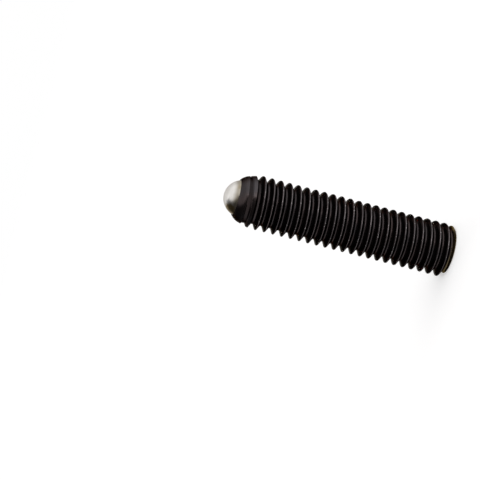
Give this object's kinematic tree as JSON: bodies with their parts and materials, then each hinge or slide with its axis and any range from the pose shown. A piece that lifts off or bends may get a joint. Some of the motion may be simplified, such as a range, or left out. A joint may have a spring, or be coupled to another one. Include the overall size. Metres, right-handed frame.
{
  "type": "ball-ended socket set screw",
  "caption": "Headless M6 set screw, threaded from end to end, with a hexagon socket in one end and a bright steel ball held by a rolled lip in the tapered other end.",
  "frame": {"origin": "centre of the socket end, in the plane of its flat ring, on which the screw stands", "axes": "+Z along the screw's axis, from the socket end up to the ball's tip; the hexagon socket opens downwards, along -Z"},
  "size_m": [0.006, 0.006, 0.0259],
  "materials": {
    "black_steel": "black oxide, lightly oiled, worn bright in places along the crests",
    "bright_steel": "hardened and polished"
  },
  "bodies": {
    "screw": {"screw_body": "black_steel"},
    "ball": {"thrust_ball": "bright_steel"}
  },
  "joints": [
    {"name": "ball_spin", "type": "hinge", "parent": "screw", "child": "ball", "pos_m": [0, 0, 0.0239], "axis": [0, 0, 1], "continuous": true}
  ]
}
